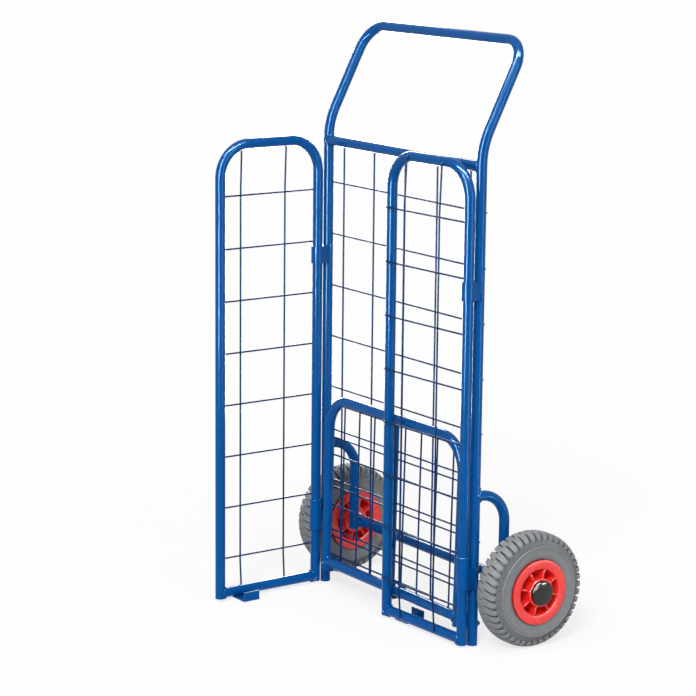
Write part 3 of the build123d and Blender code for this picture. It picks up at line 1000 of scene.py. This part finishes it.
def hang_lamps():
    """Hangs the suns, the strips that draw the long highlights on the tubes, and the cap's window."""
    rest()
    for name, place, strength, spread in SUNS:
        lamp = hang_lamp("SUN", name, place, (0, AIM_Y, SUN_AIM_Z), strength)
        lamp.data.angle = radians(spread)
    for name, bearing, distance, height, aim_z, width, length, power in STRIPS:
        place = (distance * cos(radians(bearing)), distance * sin(radians(bearing)), height)
        hang_softbox(name, place, (0, AIM_Y, aim_z), width, length, power)
    cap = Vector((WHEEL_X, AXLE_Y, AXLE_Z)) * MM + Vector((CAP_FACE, 0, 0))
    place = cap + Vector(WINDOW_OFFSET)
    hang_softbox("window", place, cap, WINDOW_WIDTH, WINDOW_HEIGHT, WINDOW_POWER)


def stand_camera():
    """Stands the camera where the photo was taken from."""
    rest()
    bpy.ops.object.camera_add()
    camera = bpy.context.object
    camera.name = "photo_camera"
    level = cos(CAMERA_PITCH)
    ahead = Vector((sin(CAMERA_YAW) * level, cos(CAMERA_YAW) * level, -sin(CAMERA_PITCH)))
    flat_right = ahead.cross(Vector((0, 0, 1))).normalized()
    flat_up = flat_right.cross(ahead)
    right = flat_right * cos(CAMERA_ROLL) + flat_up * sin(CAMERA_ROLL)
    up = flat_up * cos(CAMERA_ROLL) - flat_right * sin(CAMERA_ROLL)
    facing = Matrix((right, up, -ahead)).transposed().to_4x4()
    camera.matrix_world = Matrix.Translation(CAMERA_PLACE) @ facing
    camera.data.sensor_width = 36
    camera.data.lens = CAMERA_LENS
    camera.data.clip_end = 200
    bpy.context.scene.camera = camera


# Operators

class CART_OT_coat_tubes(bpy.types.Operator):
    """Gives the tubes, bars, wires, straps and hooks smooth surfaces and a blue powder coat"""

    bl_idname = "cart.coat_tubes"
    bl_label = "Coat the tubes and wires"

    def execute(self, context):
        coat = powder_coat()
        wire_finish_painted_shade = wire_coat_painted_shade()
        slots = {row["node"]: row["material_slot"] for row in frame["record"]["subparts"]}
        blue = [name for name, slot in slots.items() if slot == "blue_powder_coat"]
        if not blue:
            raise RuntimeError("the record names no node with a blue powder coat")
        bodies = frame["record"]["behaviour"]["bodies"]
        owner = {node: body for body, members in bodies.items() for node in members}
        for name in blue:
            twin = copied(nodes[name], Matrix.Identity(4))
            take(twin)
            bpy.ops.mesh.customdata_custom_splitnormals_clear()
            edit(twin)
            bpy.ops.mesh.remove_doubles(threshold=0.001 * MM)
            done()
            smooth(twin, 38)
            is_wire = name.endswith(("_horizontals", "_verticals"))
            # The wires take the coat whose darker blue is painted shade
            finish = wire_finish_painted_shade if is_wire else coat
            dressed(twin, name + "_coated", finish, owner[name], [name])
        return {"FINISHED"}


class CART_OT_hardware(bpy.types.Operator):
    """Finishes the axle, its washers and retainers, the bearings and the inner tubes"""

    bl_idname = "cart.hardware"
    bl_label = "Finish the axle hardware"

    def execute(self, context):
        finishes = {
            "zinc_steel": zinc_steel(),
            "inner_tube_rubber": tube_rubber(),
            "bearing_plastic": bearing_nylon(),
        }
        rows = [row for row in frame["record"]["subparts"] if row["material_slot"] in finishes]
        if not rows:
            raise RuntimeError("the record names no node of the axle's hardware")
        for row in rows:
            for slot in nodes[row["node"]].material_slots:
                slot.material = finishes[row["material_slot"]]
        return {"FINISHED"}


class CART_OT_welds(bpy.types.Operator):
    """Lays weld beads round the tube joints and spot welds at the ends and crossings of the wires"""

    bl_idname = "cart.welds"
    bl_label = "Weld the joints"

    def execute(self, context):
        tee = tee_bead()
        spot = spot_bead()
        ring = ring_bead()
        upper_bead = straight_bead(UPPER_STRAP)
        lower_bead = straight_bead(LOWER_STRAP)
        frame_welds(tee, spot, upper_bead, lower_bead)
        for side in ("left", "right"):
            gate_welds(side, tee, spot, ring)
        toe_welds(tee, spot)
        removed(tee, spot, ring, upper_bead, lower_bead)
        return {"FINISHED"}


class CART_OT_tyres(bpy.types.Operator):
    """Moulds the two tyres, with lugs, shoulder ribs and sidewall rings"""

    bl_idname = "cart.tyres"
    bl_label = "Mould the tyres"

    def execute(self, context):
        pattern = make_tyre(context.scene.cart_sizes)
        for side in ("left", "right"):
            tyre = copied(pattern, wheel_frame(side))
            name = side + "_treaded_tyre"
            dressed(tyre, name, tyre_rubber(), side + "_wheel", [side + "_tyre"])
        removed(pattern)
        return {"FINISHED"}


class CART_OT_rims(bpy.types.Operator):
    """Moulds the two ribbed rims"""

    bl_idname = "cart.rims"
    bl_label = "Mould the rims"

    def execute(self, context):
        ribs = context.scene.cart_sizes.rim_ribs
        pattern = joined([around(rim_rib(ribs), ribs), make_rim(ribs)], "rim")
        smooth(pattern, 32)
        for side in ("left", "right"):
            rim = copied(pattern, wheel_frame(side))
            name = side + "_moulded_rim"
            dressed(rim, name, rim_plastic(), side + "_wheel", [side + "_rim"])
        removed(pattern)
        return {"FINISHED"}


class CART_OT_caps_and_valves(bpy.types.Operator):
    """Makes the domed hub caps and the tyre valves"""

    bl_idname = "cart.caps_and_valves"
    bl_label = "Make the hub caps and valves"

    def execute(self, context):
        cap_pattern = turned(CAP, steps=72)
        smooth(cap_pattern, 30)
        stem_pattern = turned(STEM, steps=20, axis="Z")
        smooth(stem_pattern, 40)
        for side in ("left", "right"):
            place = wheel_frame(side)
            body = side + "_wheel"
            cap = copied(cap_pattern, place)
            dressed(cap, side + "_domed_cap", cap_plastic(), body, [side + "_hub_cap"])
            stem = copied(stem_pattern, place @ Matrix.Translation((STEM_ALONG * MM, 0, 0)))
            dressed(stem, side + "_valve_stem", valve_brass(), body, [side + "_valve"])
        removed(cap_pattern, stem_pattern)
        return {"FINISHED"}


class CART_OT_stage(bpy.types.Operator):
    """Lays the pale studio floor and sets the lamps, the surroundings and the camera"""

    bl_idname = "cart.stage"
    bl_label = "Set the stage"

    def execute(self, context):
        lay_floor()
        light_world()
        hang_lamps()
        stand_camera()
        context.scene.view_settings.view_transform = "Standard"
        return {"FINISHED"}


class CART_PT_panel(bpy.types.Panel):
    """Lists the cart's sizes, colours and steps in the sidebar"""

    bl_label = "Folding Hand Cart"
    bl_idname = "CART_PT_panel"
    bl_space_type = "VIEW_3D"
    bl_region_type = "UI"
    bl_category = "Hand Cart"

    def draw(self, context):
        for group in (context.scene.cart_sizes, context.scene.cart_colours):
            area = self.layout.box()
            for name in group.__annotations__:
                area.prop(group, name)
        for operator in OPERATORS:
            self.layout.operator(operator.bl_idname)


OPERATORS = (
    CART_OT_coat_tubes,
    CART_OT_hardware,
    CART_OT_welds,
    CART_OT_tyres,
    CART_OT_rims,
    CART_OT_caps_and_valves,
    CART_OT_stage,
)
CLASSES = (CartColours, CartSizes, *OPERATORS, CART_PT_panel)


def register():
    """Makes the groups, operators and panel known to Blender."""
    for item in CLASSES:
        bpy.utils.register_class(item)
    bpy.types.Scene.cart_colours = PointerProperty(type=CartColours)
    bpy.types.Scene.cart_sizes = PointerProperty(type=CartSizes)


def unregister():
    """Takes back what register did."""
    del bpy.types.Scene.cart_sizes
    del bpy.types.Scene.cart_colours
    for item in reversed(CLASSES):
        bpy.utils.unregister_class(item)


def main():
    """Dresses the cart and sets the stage."""
    register()
    bpy.ops.cart.coat_tubes()
    bpy.ops.cart.hardware()
    bpy.ops.cart.welds()
    bpy.ops.cart.tyres()
    bpy.ops.cart.rims()
    bpy.ops.cart.caps_and_valves()
    bpy.ops.cart.stage()
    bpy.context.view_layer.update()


if __name__ == "__main__":
    main()
